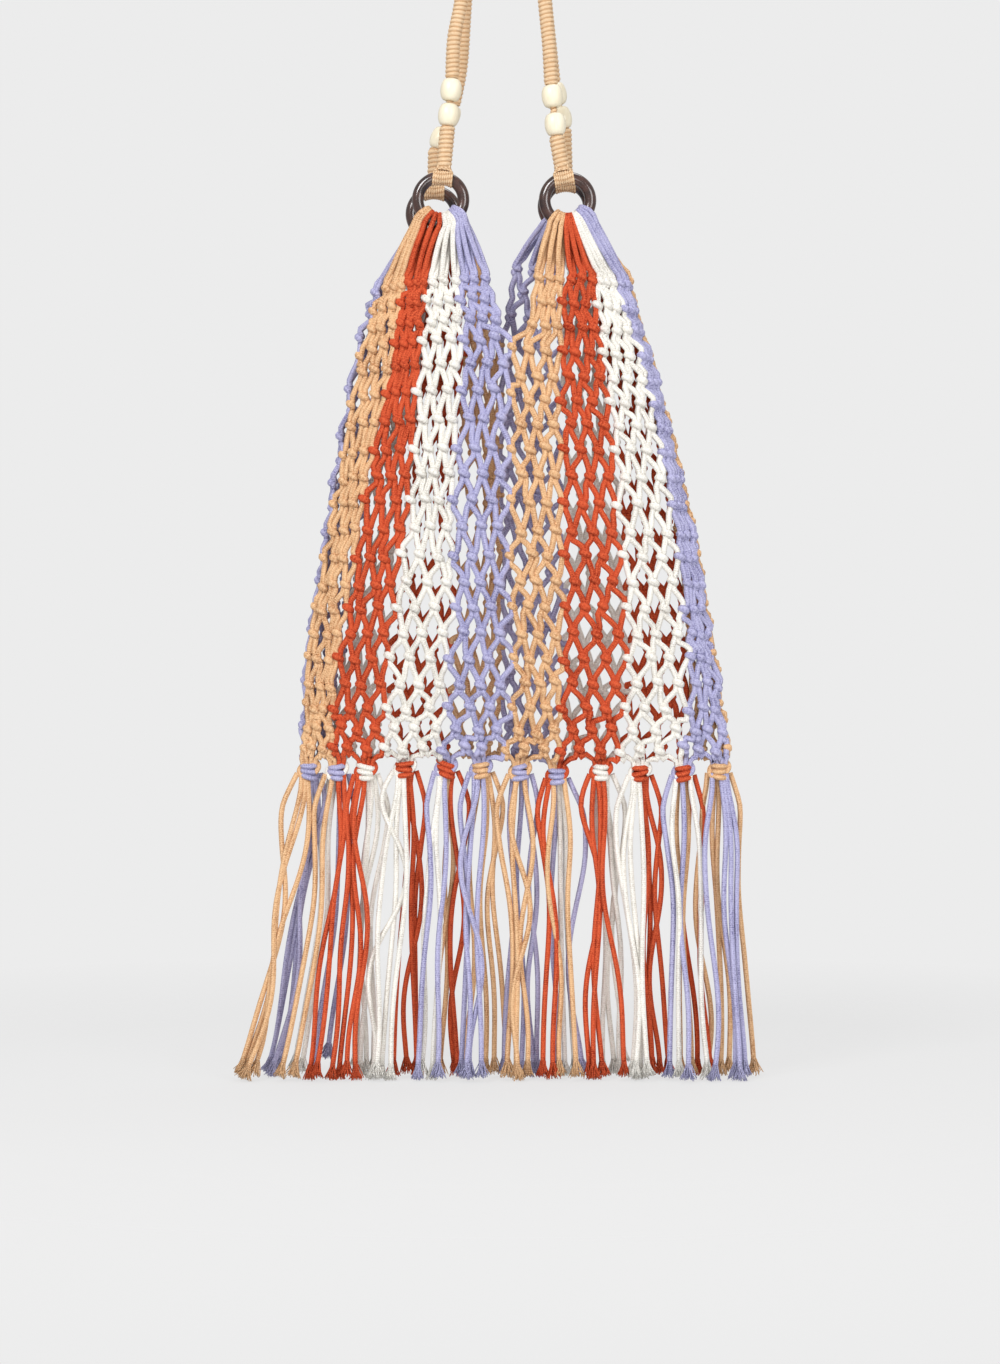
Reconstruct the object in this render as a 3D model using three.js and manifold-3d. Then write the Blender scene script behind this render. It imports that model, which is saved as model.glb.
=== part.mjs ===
// Macrame net tote bag with a long fringe, hanging by its two rope handles.
// Ninety-six strands of soft cotton cord, in four colours, fall from four dark rings.
// They are knotted into an open diamond net, front and back, and are tied off two layers
// deep in a row of twelve square knots. Below those the same strands hang free as a fringe.
// Each pair of rings carries a wrapped rope handle with two wooden beads above each ring.
// Millimetres, +Z up, front towards -Y. The origin is where a peg or a hand carries both
// handles: on the underside of their bend, midway between them.

import * as THREE from "three";
import { mergeVertices } from "three/addons/utils/BufferGeometryUtils.js";
import Module from "manifold-3d";

const wasm = await Module();
wasm.setup();

// Driving sizes: cord and clearance
const cord = 4.2; // thickness of the net's cotton cord, and of the net's wall
const clearance = 0.3; // gap kept between pieces that touch

// Driving sizes: rings
const ringOuter = 40; // outer diameter of a ring
const ringWire = 8.2; // thickness of a ring
const ringSpread = 89; // between the left and the right ring centres
const ringGap = 26; // between the front and the back ring centres
const ringDrop = 311.5; // from the origin down to the ring centres
const cordSpan = 120; // degrees of a ring's lower side that its cords cover
const cordSplit = 4; // degrees left free between two colours on a ring

// Driving sizes: handles
const gripThick = 10; // wrapped rope between the upper beads
const wrapThick = 11; // wrapped stretch between ring and lower bead
const bendLength = 27; // over which a leg's slant eases off above its upper bead
const easedShare = 0.5; // how much of that slant is lost there
const loopThick = 2.8; // strap of cords that folds over the ring
const loopSpan = 44; // degrees of the ring that the strap covers
const coreThick = 5.2; // bare cords inside the beads
const beadWide = 14.8;
const beadLong = 15.8;
const pegRadius = 12; // round bar that the handles' bend fits
const shoulder = 157; // from the bend's centre down to where the legs are measured apart

// Driving sizes: net
const bagWidth = 301; // width across the last row of knots
const bagDepth = 60; // front wall to back wall where the net stands widest apart
const fanLength = 54.5; // from a front ring's centre down to the first row of knots
const netHeight = 335; // from the first row of knots down to the square knots
const rowDroop = 6; // how much lower the first row hangs at the side than at its middle
const blunt = 0.62; // how round the bag's sides are, from 1 for a wedge to 0 for a box
const rowsOfGaps = 6; // gaps down each colour stripe
const strutWide = 7.6; // cords that run side by side between two knots
const strutShare = 0.36; // of a stripe's width, the most that a strut takes up
const knotWide = 10.5;
const knotShare = 0.56; // of a stripe's width, the most that a knot takes up
const knotTall = 9;
const contactTall = 7; // height of the knots where two stripes are tied to each other

// Driving sizes: fringe
const tassels = 12; // square knots along the bottom, each with its strands
const headWide = 16.4; // a square knot
const headDeep = 15;
const headTall = 16;
const fringeLength = 206; // from the square knots down to the cut ends
const fringeLeft = 172; // centre line to the middle of the first tassel, at the ends
const fringeRight = 164; // the same to the last tassel
const fringeDepth = 44; // front to back across the cut ends
const lockWide = 6.4; // two strands that hang together
const lockDeep = 5.4;

// Colours of the parts
const paints = {
  tan: { color: 0xd3a368, roughness: 0.9, metalness: 0 },
  rust: { color: 0xc24a22, roughness: 0.9, metalness: 0 },
  white: { color: 0xebe8df, roughness: 0.9, metalness: 0 },
  lilac: { color: 0x9c9fd0, roughness: 0.9, metalness: 0 },
  wrap: { color: 0xdfb382, roughness: 0.85, metalness: 0 },
  bead: { color: 0xf3ecd9, roughness: 0.45, metalness: 0 },
  ring: { color: 0x33201c, roughness: 0.25, metalness: 0 },
};

// Colours of a quarter's four stripes, from left to right for someone who faces that wall
const stripeColours = ["tan", "rust", "white", "lilac"];

// The four quarters of the bag. side is -1 left, +1 right; face is -1 front, +1 back.
// ringShift and ringSag move its ring outwards and down. lean and beadLean are the slants, in
// degrees towards the middle, of its handle leg below and along the beads. wrap is the length
// of the wrapped stretch below the beads and bare that of the core that shows between them.
// legOut is how far from the centre line the leg runs at the shoulder.
const quarters = [
  {
    name: "front_left", side: -1, face: -1,
    ringShift: 0.3, ringSag: 0, lean: 5.4, beadLean: 5.4, wrap: 29, bare: 1.6, legOut: 30,
  },
  {
    name: "front_right", side: 1, face: -1,
    ringShift: -1, ringSag: 0.3, lean: 9.8, beadLean: 6, wrap: 22.7, bare: 3.9, legOut: 27.4,
  },
  {
    name: "back_right", side: 1, face: 1,
    ringShift: -1.5, ringSag: 0.5, lean: 1.5, beadLean: 12, wrap: 31, bare: 1.6, legOut: 28.5,
  },
  {
    name: "back_left", side: -1, face: 1,
    ringShift: 5.5, ringSag: 5.7, lean: 1.5, beadLean: 21, wrap: 21.2, bare: 1.6, legOut: 28,
  },
];

// Where the colours change on each half of the net, from the first row of knots down. drop is
// a share of netHeight. The others are places out from the centre line, as shares of bagWidth:
// the bag's side, the three changes of colour and the middle seam, on the front and the back.
const leftHalf = [
  { drop: 0, side: 0.305, first: 0.228, second: 0.174, third: 0.1, front: 0.033, back: 0.049 },
  { drop: 0.1, side: 0.336, first: 0.247, second: 0.189, third: 0.095, front: 0.002, back: 0.007 },
  { drop: 0.15, side: 0.349, first: 0.258, second: 0.196, third: 0.092, front: -0.0105, back: 0.007 },
  { drop: 0.332, side: 0.384, first: 0.309, second: 0.214, third: 0.107, front: -0.007, back: 0.007 },
  { drop: 0.562, side: 0.423, first: 0.351, second: 0.253, third: 0.121, front: -0.0035, back: 0.007 },
  { drop: 0.771, side: 0.458, first: 0.391, second: 0.281, third: 0.135, front: -0.0035, back: 0.007 },
  { drop: 1, side: 0.467, first: 0.405, second: 0.288, third: 0.149, front: 0.007, back: 0.007 },
];
const rightHalf = [
  { drop: 0, side: 0.293, first: 0.258, second: 0.207, third: 0.14, front: 0.063, back: 0.023 },
  { drop: 0.1, side: 0.321, first: 0.293, second: 0.214, third: 0.13, front: 0.047, back: -0.007 },
  { drop: 0.15, side: 0.342, first: 0.309, second: 0.212, third: 0.121, front: 0.0105, back: -0.007 },
  { drop: 0.353, side: 0.391, first: 0.351, second: 0.244, third: 0.121, front: 0.0065, back: -0.007 },
  { drop: 0.5725, side: 0.442, first: 0.398, second: 0.258, third: 0.128, front: 0.0035, back: -0.007 },
  { drop: 0.792, side: 0.481, first: 0.416, second: 0.265, third: 0.121, front: 0.0035, back: -0.007 },
  { drop: 0.96, side: 0.512, first: 0.412, second: 0.256, third: 0.116, front: -0.003, back: -0.007 },
  { drop: 1, side: 0.526, first: 0.414, second: 0.267, third: 0.121, front: -0.007, back: -0.007 },
];

// Places of each half's six square knots, from the side in, as shares of bagWidth
const leftHeads = [0.456, 0.391, 0.323, 0.2326, 0.1372, 0.0558];
const rightHeads = [0.4977, 0.414, 0.314, 0.2233, 0.1209, 0.0349];

// Depth of the bag down the net, as a share of bagDepth
const depths = [
  { drop: 0, depth: 0.24 },
  { drop: 0.1, depth: 0.32 },
  { drop: 0.245, depth: 0.4 },
  { drop: 0.449, depth: 0.46 },
  { drop: 0.653, depth: 0.43 },
  { drop: 0.857, depth: 0.25 },
  { drop: 0.959, depth: 0.1 },
  { drop: 1, depth: 0.05 },
];

const ringRadius = (ringOuter - ringWire) / 2; // to the middle of the ring's wire
const netTop = -(ringDrop + fanLength);
const netBottom = netTop - netHeight;
const degrees = Math.PI / 180;

// A closed geometry as a manifold-3d solid.
function solidOf(geometry) {
  const bare = new THREE.BufferGeometry();
  bare.setAttribute("position", geometry.getAttribute("position"));
  if (geometry.index) bare.setIndex(geometry.index);
  const merged = mergeVertices(bare, 1e-3);
  const mesh = new wasm.Mesh({
    numProp: 3,
    vertProperties: new Float32Array(merged.attributes.position.array),
    triVerts: new Uint32Array(merged.index.array),
  });
  return new wasm.Manifold(mesh);
}

// Several geometries that meet, joined into one closed body.
function fused(geometries) {
  const joined = geometries.map(solidOf).reduce((whole, next) => whole.add(next));
  const mesh = joined.getMesh();
  const geometry = new THREE.BufferGeometry();
  geometry.setAttribute("position", new THREE.BufferAttribute(mesh.vertProperties, 3));
  geometry.setIndex(new THREE.BufferAttribute(mesh.triVerts, 1));
  geometry.computeVertexNormals();
  return geometry;
}

// A regular polygon that stands for a circle, as a shape or as a hole in one.
function polygon(sides, radiusX, radiusY = radiusX, turn = 0.5) {
  const points = [];
  for (let i = 0; i < sides; i++) {
    const angle = ((i + turn) / sides) * 2 * Math.PI;
    points.push(new THREE.Vector2(radiusX * Math.cos(angle), radiusY * Math.sin(angle)));
  }
  return points;
}

// A polygon section carried along a curve, with closed ends.
function tube(curve, section, steps, hole) {
  const shape = new THREE.Shape(section);
  if (hole) shape.holes.push(new THREE.Path(hole));
  return new THREE.ExtrudeGeometry(shape, { steps, extrudePath: curve });
}

// Part of a ring's circle, in the plane that faces front.
class RingArc extends THREE.Curve {
  constructor(centre, radius, from, to) {
    super();
    Object.assign(this, { centre, radius, from, to });
  }
  getPoint(t) {
    const angle = this.from + (this.to - this.from) * t;
    const point = new THREE.Vector3(Math.cos(angle), 0, Math.sin(angle));
    return point.multiplyScalar(this.radius).add(this.centre);
  }
}

// Cord or strap folded round a ring's wire, over a stretch of the ring.
function fold(centre, thick, from, to) {
  const arc = new RingArc(centre, ringRadius, from, to);
  return tube(arc, polygon(8, foldInner + thick), 2, polygon(8, foldInner));
}

const ringSteps = 18;
const ringFacet = ringRadius * (1 - Math.cos(Math.PI / ringSteps)); // a facet's rise on the circle
const foldInner = (ringWire / 2 + clearance + ringFacet) / Math.cos(Math.PI / 8);

function ringCentre({ side, face, ringShift, ringSag }) {
  const x = side * (ringSpread / 2 + ringShift);
  return new THREE.Vector3(x, (face * ringGap) / 2, -ringDrop - ringSag);
}

function ring(quarter) {
  const geometry = new THREE.TorusGeometry(ringRadius, ringWire / 2, 8, ringSteps);
  geometry.rotateX(Math.PI / 2);
  const centre = ringCentre(quarter);
  return geometry.translate(centre.x, centre.y, centre.z);
}

// A table's column at a share of the net's height.
function valueAt(table, drop, key) {
  const after = Math.max(1, table.findIndex((row) => row.drop >= drop));
  const [a, b] = [table[after - 1], table[after]];
  return THREE.MathUtils.lerp(a[key], b[key], (drop - a.drop) / (b.drop - a.drop));
}

// Middle of the net's wall in one quarter. across runs from 0 at the bag's side to 1 at the
// middle seam. down runs from -1 at the ring and 0 at the first row to 1 at the square knots.
function netPoint(quarter, across, down) {
  const { side, face } = quarter;
  const row = Math.max(0, down);
  const changes = ["side", "first", "second", "third", face < 0 ? "front" : "back"];
  const out = changes.map((key) => valueAt(side < 0 ? leftHalf : rightHalf, row, key) * bagWidth);
  const stripes = changes.length - 1;
  const band = Math.max(0, Math.min(stripes - 1, Math.floor(across * stripes)));
  const place = THREE.MathUtils.lerp(out[band], out[band + 1], across * stripes - band);
  const left = Math.min(1, Math.max(0, (place - out[stripes]) / (out[0] - out[stripes])));
  const bulge = (1 - left ** 2) ** blunt;
  const droop = rowDroop * (1 - across) ** 2 * (1 - row);
  const point = new THREE.Vector3(
    side * place,
    face * (cord / 2 + clearance / 2 + valueAt(depths, row, "depth") * bagDepth * bulge),
    netTop - netHeight * row - droop,
  );
  if (down >= 0) return point;
  return fanStart(quarter, across).lerp(point, 1 + down);
}

// A square knot's place from left to right, counted from the side in.
function headPlace({ side }, number) {
  return side * (side < 0 ? leftHeads : rightHeads)[number] * bagWidth;
}

// Where the cords leave a ring, just inside the fold's outer wall.
function fanStart(quarter, across) {
  const angle = (across - 0.5) * cordSpan * degrees;
  const reach = ringRadius + (foldInner + cord) * Math.cos(Math.PI / 8) - cord / 4;
  const centre = ringCentre(quarter);
  centre.x -= quarter.side * reach * Math.sin(angle);
  centre.z -= reach * Math.cos(angle);
  return centre;
}

// Width of a colour stripe at a share of the net's height.
function stripeWidth(quarter, stripe, down) {
  const near = netPoint(quarter, stripe / 4, down);
  return near.distanceTo(netPoint(quarter, (stripe + 1) / 4, down));
}

// The fan of cords from the ring to the first row, as a flat outline in shares of the stripe's
// width and of the net's height.
function fanShape(quarter, stripe) {
  const top = clearance / stripeWidth(quarter, stripe, -1);
  const foot = clearance / 2 / stripeWidth(quarter, stripe, 0);
  const corners = [[top, -1], [1 - top, -1], [1 - foot, 0], [foot, 0]];
  return new THREE.Shape(corners.map(([u, v]) => new THREE.Vector2(u, v)));
}

// The knotted part below it in the same shares: two cords that meet in the stripe's middle and
// at its edges by turns.
function stripeShape(quarter, stripe) {
  const wide = (down) => stripeWidth(quarter, stripe, down);
  const cell = 1 / rowsOfGaps;
  const edge = (down) => clearance / 2 / wide(down);
  const inEdge = (down) => Math.min(strutShare, strutWide / wide(down));
  const knot = (down) => Math.min(knotShare, knotWide / wide(down)) / 2;
  const rise = knotTall / 2 / netHeight;
  const touch = contactTall / 2 / netHeight;
  const lastKnot = 1 - cell / 2;

  // The stripe's side, from the first row down, as distances in from its own edge
  const sideLine = [[edge(0), 0], [edge(0), touch]];
  for (let i = 0; i < rowsOfGaps; i++) {
    const meet = (i + 0.5) * cell;
    sideLine.push([0.5 - knot(meet), meet]);
    const apart = (i + 1) * cell;
    if (i < rowsOfGaps - 1) sideLine.push([edge(apart), apart - touch], [edge(apart), apart + touch]);
  }

  // Two feet, each over the square knot that takes its cords
  const foot = headWide / 3 / wide(1);
  const [start, finish] = [stripe / 4, (stripe + 1) / 4].map((across) => netPoint(quarter, across, 1).x);
  const half = (number) => {
    const middle = (headPlace(quarter, number) - start) / (finish - start);
    return [Math.max(edge(1), middle - foot), Math.min(1 - edge(1), middle + foot)];
  };
  const firstHead = Math.floor(stripe * 1.5);
  const [near, far] = [half(firstHead), half(firstHead + 1)];
  const end = 1 - clearance / netHeight;
  const feet = [[near[0], end], [near[1], end], [0.5, lastKnot + rise], [far[0], end], [far[1], end]];

  const mirrored = sideLine.map(([u, v]) => [1 - u, v]).reverse();
  const flat = (points) => points.map(([u, v]) => new THREE.Vector2(u, v));
  const shape = new THREE.Shape(flat([...sideLine, ...feet, ...mirrored]).reverse());
  const gap = (points) => shape.holes.push(new THREE.Path(flat(points)));
  gap([[inEdge(0), rise], [0.5, cell / 2 - rise], [1 - inEdge(0), rise]]);
  for (let i = 1; i < rowsOfGaps; i++) {
    const middle = i * cell;
    const [top, bottom] = [middle - cell / 2 + rise, middle + cell / 2 - rise];
    gap([[0.5, top], [inEdge(middle), middle], [0.5, bottom], [1 - inEdge(middle), middle]]);
  }
  return shape;
}

// A flat outline laid on the bag's wall, as thick as a cord.
function laid(shape, quarter, index) {
  const sheet = new THREE.ExtrudeGeometry(shape, { depth: 1, bevelEnabled: false });
  const place = sheet.getAttribute("position");
  for (let i = 0; i < place.count; i++) {
    const across = (index + place.getX(i)) / 4;
    const point = netPoint(quarter, across, place.getY(i));
    place.setXYZ(i, point.x, point.y + (0.5 - place.getZ(i)) * cord * quarter.side, point.z);
  }
  return sheet;
}

// A colour stripe of the net: its fan and its knotted part, with the fold of its cords.
function stripe(quarter, index) {
  const start = -90 + quarter.side * (0.5 - index / 4) * cordSpan;
  const end = start - (quarter.side * cordSpan) / 4;
  const [from, to] = [Math.min(start, end) + cordSplit / 2, Math.max(start, end) - cordSplit / 2];
  const sheets = [fanShape, stripeShape].map((shape) => laid(shape(quarter, index), quarter, index));
  return fused([...sheets, fold(ringCentre(quarter), cord, from * degrees, to * degrees)]);
}

// Distances from a ring's centre up its handle leg: the wrapped stretch, its beads and the grip
const wrapStart = ringRadius + foldInner + loopThick / 2;
const wrapEnd = (quarter) => wrapStart + quarter.wrap;
const bendRoom = ({ lean, beadLean }) => (wrapThick / 2) * Math.tan(Math.abs(beadLean - lean) * degrees);
const beadFoot = (quarter) => wrapEnd(quarter) + bendRoom(quarter) + clearance;
const beadStart = (quarter, number) => beadFoot(quarter) + number * (beadLong + quarter.bare);
const easedRoom = ({ beadLean }, thick) => (thick / 2) * Math.tan(beadLean * degrees);
const gripStart = (quarter) => beadStart(quarter, 1) + beadLong + clearance + easedRoom(quarter, gripThick);
const coreEnd = (quarter) => gripStart(quarter) - clearance - easedRoom(quarter, coreThick);

// The upward direction of a handle leg that leans in by some degrees.
function upwards(quarter, lean) {
  return new THREE.Vector3(-quarter.side * Math.sin(lean * degrees), 0, Math.cos(lean * degrees));
}

// A point of a handle leg at a distance from the ring's centre: one slant up to the end of
// the wrapped stretch, and another along the beads.
function legPoint(quarter, distance) {
  const bend = wrapEnd(quarter);
  const below = upwards(quarter, quarter.lean).multiplyScalar(Math.min(distance, bend));
  const along = upwards(quarter, quarter.beadLean).multiplyScalar(Math.max(0, distance - bend));
  return ringCentre(quarter).add(below).add(along);
}

// The handle's end: a strap of cords over the ring, the wrapped stretch and the bare core.
function handleEnd(quarter) {
  const middle = Math.PI / 2 + quarter.side * quarter.lean * degrees;
  const half = (loopSpan / 2) * degrees;
  const line = (a, b) => new THREE.LineCurve3(legPoint(quarter, a), legPoint(quarter, b));
  return fused([
    fold(ringCentre(quarter), loopThick, middle - half, middle + half),
    tube(line(wrapStart, wrapEnd(quarter)), polygon(8, wrapThick / 2), 1),
    tube(line(wrapEnd(quarter), coreEnd(quarter)), polygon(8, coreThick / 2), 1),
  ]);
}

// A barrel-shaped wooden bead, drilled for the core.
function bead(quarter, number) {
  const bore = coreThick / 2 + clearance;
  const profile = [
    [bore, 0],
    [beadWide * 0.34, 0],
    [beadWide * 0.5, beadLong * 0.33],
    [beadWide * 0.5, beadLong * 0.67],
    [beadWide * 0.34, beadLong],
    [bore, beadLong],
    [bore, 0],
  ];
  const geometry = new THREE.LatheGeometry(profile.map(([r, h]) => new THREE.Vector2(r, h)), 10);
  geometry.rotateX(Math.PI / 2);
  geometry.rotateY(-quarter.side * quarter.beadLean * degrees);
  const foot = legPoint(quarter, beadStart(quarter, number));
  return geometry.translate(foot.x, foot.y, foot.z);
}

// The wrapped rope between two legs, over the peg.
function grip(left, right) {
  const bend = pegRadius + gripThick / 2;
  const height = -pegRadius;
  const besides = left.face * (gripThick / 2 + clearance);
  const leg = (quarter) => {
    const start = legPoint(quarter, gripStart(quarter));
    const slant = quarter.beadLean * (1 - easedShare);
    const above = upwards(quarter, slant).multiplyScalar(bendLength).add(start);
    const inwards = THREE.MathUtils.lerp(start.y, besides, 0.3);
    return [start, above, new THREE.Vector3(quarter.side * quarter.legOut, inwards, height - shoulder)];
  };
  const over = [160, 125, 90, 55, 20].map((turn) => {
    const aside = bend * Math.cos(turn * degrees);
    return new THREE.Vector3(aside, besides, height + bend * Math.sin(turn * degrees));
  });
  const points = [...leg(left), ...over, ...leg(right).reverse()];
  return tube(new THREE.CatmullRomCurve3(points, false, "centripetal"), polygon(8, gripThick / 2), 28);
}

// One square knot with the strands that hang from it, in four locks.
function tassel(quarter, index) {
  const number = quarter.side < 0 ? index : tassels - 1 - index;
  const headX = headPlace(quarter, index);
  const levels = [
    { drop: 0, wide: 0.86 },
    { drop: 0.25, wide: 1 },
    { drop: 0.75, wide: 1 },
    { drop: 1, wide: 0.9 },
  ];
  const profile = levels.map(({ drop, wide }) => new THREE.Vector2(wide / 2, -drop));
  const outline = [new THREE.Vector2(0, 0), ...profile, new THREE.Vector2(0, -1)].reverse();
  const knot = new THREE.LatheGeometry(outline, 8);
  knot.rotateX(Math.PI / 2);
  knot.scale(headWide, headDeep, headTall);
  knot.translate(headX, 0, netBottom);

  const endX = -fringeLeft + ((fringeLeft + fringeRight) * number) / (tassels - 1);
  const endWidth = (fringeLeft + fringeRight) / (tassels - 1);
  const locks = [0, 1, 2, 3].map((i) => {
    const across = (i - 1.5) / 4;
    const back = (i % 2 ? 1 : -1) * (i % 3 ? 0.35 : 1);
    const stations = [0, 0.35, 0.7, 1].map((t) => new THREE.Vector3(
      THREE.MathUtils.lerp(headX + across * headWide * 0.8, endX + across * endWidth, t ** 1.6),
      (back * THREE.MathUtils.lerp(headDeep / 3, fringeDepth - lockDeep, t)) / 2,
      netBottom - headTall + knotOverlap - (fringeLength + knotOverlap) * t,
    ));
    return tube(new THREE.CatmullRomCurve3(stations), polygon(4, lockWide * 0.7, lockDeep * 0.7), 3);
  });
  return fused([knot, ...locks]);
}
const knotOverlap = 3; // how far a lock runs up into its square knot

// The bag as named meshes
const bag = new THREE.Group();
function add(name, geometry, paint) {
  const mesh = new THREE.Mesh(geometry, new THREE.MeshStandardMaterial(paints[paint]));
  mesh.name = name;
  bag.add(mesh);
}

for (const quarter of quarters) {
  const startsOutside = quarter.side * quarter.face > 0;
  const colours = startsOutside ? stripeColours : [...stripeColours].reverse();
  add(`ring_${quarter.name}`, ring(quarter), "ring");
  add(`handle_end_${quarter.name}`, handleEnd(quarter), "wrap");
  ["lower", "upper"].forEach((height, i) => add(`bead_${quarter.name}_${height}`, bead(quarter, i), "bead"));
  colours.forEach((colour, i) => add(`net_${quarter.name}_${colour}`, stripe(quarter, i), colour));
}
add("grip_front", grip(quarters[0], quarters[1]), "wrap");
add("grip_back", grip(quarters[3], quarters[2]), "wrap");

// Square knots are tied with the back layer's cord, so they take its colour
const knotColours = [
  ...["lilac", "lilac", "white", "rust", "rust", "tan"],
  ...["lilac", "lilac", "white", "rust", "rust", "tan"],
];
knotColours.forEach((colour, number) => {
  const left = number < tassels / 2;
  const name = `tassel_${String(number + 1).padStart(2, "0")}`;
  add(name, tassel(quarters[left ? 0 : 1], left ? number : tassels - 1 - number), colour);
});

export default bag;
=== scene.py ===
import bpy
import numpy as np
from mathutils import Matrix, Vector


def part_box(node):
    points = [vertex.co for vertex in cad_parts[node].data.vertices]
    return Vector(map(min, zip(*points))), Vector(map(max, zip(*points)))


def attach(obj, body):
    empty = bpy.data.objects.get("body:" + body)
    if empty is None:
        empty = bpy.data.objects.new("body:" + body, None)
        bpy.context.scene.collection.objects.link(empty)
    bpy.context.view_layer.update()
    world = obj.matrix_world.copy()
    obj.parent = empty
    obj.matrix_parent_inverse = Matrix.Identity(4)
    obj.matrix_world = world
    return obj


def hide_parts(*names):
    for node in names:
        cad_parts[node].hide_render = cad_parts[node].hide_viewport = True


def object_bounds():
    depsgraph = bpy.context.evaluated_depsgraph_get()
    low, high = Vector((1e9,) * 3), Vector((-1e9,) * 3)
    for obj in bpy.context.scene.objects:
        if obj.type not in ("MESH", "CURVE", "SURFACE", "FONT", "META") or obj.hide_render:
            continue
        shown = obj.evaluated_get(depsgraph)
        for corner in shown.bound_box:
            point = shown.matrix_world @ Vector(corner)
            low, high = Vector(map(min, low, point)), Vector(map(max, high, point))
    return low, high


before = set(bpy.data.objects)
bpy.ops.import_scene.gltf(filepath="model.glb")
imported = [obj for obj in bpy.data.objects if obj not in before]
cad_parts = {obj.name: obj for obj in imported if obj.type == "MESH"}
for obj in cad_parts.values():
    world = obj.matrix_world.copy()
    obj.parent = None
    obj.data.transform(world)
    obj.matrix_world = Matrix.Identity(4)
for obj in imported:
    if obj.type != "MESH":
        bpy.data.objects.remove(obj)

cad_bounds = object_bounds()

# Camera
# The photo looks level at the hanging bag from about two metres, with the middle of the
# picture a little above the bag's lower third. The handles leave it at its upper edge.
PHOTO_WIDTH, PHOTO_HEIGHT = 1000, 1364
PIXEL = 0.0007  # metres on the bag for each pixel
CENTRE_LINE = 505  # pixel column of x = 0
ORIGIN_ROW = -242  # pixel row of z = 0
CAMERA_DISTANCE = 2.1
SENSOR = 24  # height of the camera's sensor in millimetres

camera_data = bpy.data.cameras.new("camera")
camera_data.sensor_fit = "VERTICAL"
camera_data.sensor_height = SENSOR
camera_data.lens = SENSOR * CAMERA_DISTANCE / (PHOTO_HEIGHT * PIXEL)
camera = bpy.data.objects.new("camera", camera_data)
camera.location = (
    (PHOTO_WIDTH / 2 - CENTRE_LINE) * PIXEL,
    -CAMERA_DISTANCE,
    (ORIGIN_ROW - PHOTO_HEIGHT / 2) * PIXEL,
)
camera.rotation_euler = (np.pi / 2, 0, 0)
bpy.context.collection.objects.link(camera)
bpy.context.scene.camera = camera


# Shaders
# Every material is worked out from the surface's own coordinates with the few tools below:
# a number class whose arithmetic makes Math nodes, and one method for any other node.
class Number:
    """A varying number in a material, with the arithmetic of a Python number."""

    def __init__(self, paint, socket):
        self.paint, self.socket = paint, socket

    def math(self, operation, *others):
        node = self.paint.tree.nodes.new("ShaderNodeMath")
        node.operation = operation
        for slot, value in zip(node.inputs, (self, *others)):
            self.paint.feed(slot, value)
        return Number(self.paint, node.outputs[0])

    def __add__(self, other):
        return self.math("ADD", other)

    def __mul__(self, other):
        return self.math("MULTIPLY", other)

    def __sub__(self, other):
        return self.math("SUBTRACT", other)

    def __rsub__(self, other):
        return (self * -1) + other

    def sine(self):
        return self.math("SINE")

    def power(self, exponent):
        return self.math("POWER", exponent)

    def limited(self):
        return self.math("MAXIMUM", 0).math("MINIMUM", 1)


class Paint:
    """A material with one Principled shader, and the nodes that feed it."""

    def __init__(self, name, **constants):
        self.material = bpy.data.materials.new(name)
        self.material.use_nodes = True
        self.tree = self.material.node_tree
        self.shader = self.tree.nodes["Principled BSDF"]
        for key, value in constants.items():
            self.shader.inputs[key.replace("_", " ")].default_value = value

    def feed(self, socket, value):
        if isinstance(value, Number):
            self.tree.links.new(value.socket, socket)
        else:
            socket.default_value = value

    def node(self, kind, output, inputs, **settings):
        node = self.tree.nodes.new("ShaderNode" + kind)
        for key, value in settings.items():
            setattr(node, key, value)
        for key, value in inputs.items():
            self.feed(node.inputs[key], value)
        return Number(self, node.outputs[output])

    def place(self, kind="Object"):
        return self.node("TexCoord", kind, {})

    def axes(self, vector):
        """The three numbers of a vector."""
        split = self.tree.nodes.new("ShaderNodeSeparateXYZ")
        self.feed(split.inputs[0], vector)
        return [Number(self, output) for output in split.outputs]

    def noise(self, vector, scale, detail=2.0):
        return self.node("TexNoise", 0, {"Vector": vector, "Scale": scale, "Detail": detail})

    def mixed(self, share, first, second):
        """A colour between two, by a share from 0 to 1."""
        return self.node("Mix", 2, {0: share, 6: first, 7: second}, data_type="RGBA")

    def finish(self, colour, height, depth, roughness=None):
        """Feeds colour and roughness, and turns a height in 0 to 1 into a bump of a depth."""
        self.feed(self.shader.inputs["Base Color"], colour)
        if roughness is not None:
            self.feed(self.shader.inputs["Roughness"], roughness)
        bump = self.node("Bump", 0, {"Height": height, "Distance": depth, "Strength": 1.0})
        self.feed(self.shader.inputs["Normal"], bump)
        return self.material


def linear(red, green, blue):
    """A colour as the photo's eight-bit values give it, in the renderer's linear scale."""
    share = np.array([red, green, blue]) / 255
    return (*np.where(share < 0.04045, share / 12.92, ((share + 0.055) / 1.055) ** 2.4), 1.0)


# Floor and light
# A plain pale floor that the cut ends just reach, and that fades into the pale surroundings
# within a metre. Four soft lights, as in a photo studio: the key in front to the upper left,
# a weaker one at the right, one above and behind, and a small one low before the fringe.
FLOOR = cad_bounds[0][2] - 0.0005  # just below the lowest cord end
FLOOR_HALF = 2  # half its width
PALE = linear(236, 236, 236)
FLOOR_TONE = (0.15, 0.15, 0.15, 1)
FLOOR_GLOW = 0.79  # share of the pale tone that it shows unlit
FADE_LONG, FADE_END = 0.5, 0.95  # length of the fade, and its end's distance from the bag
AMBIENT = 0.45  # light that the surroundings throw on the bag
BAG_CENTRE, FRINGE_CENTRE = (0, 0, -0.55), (0, 0, -0.8)

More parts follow.
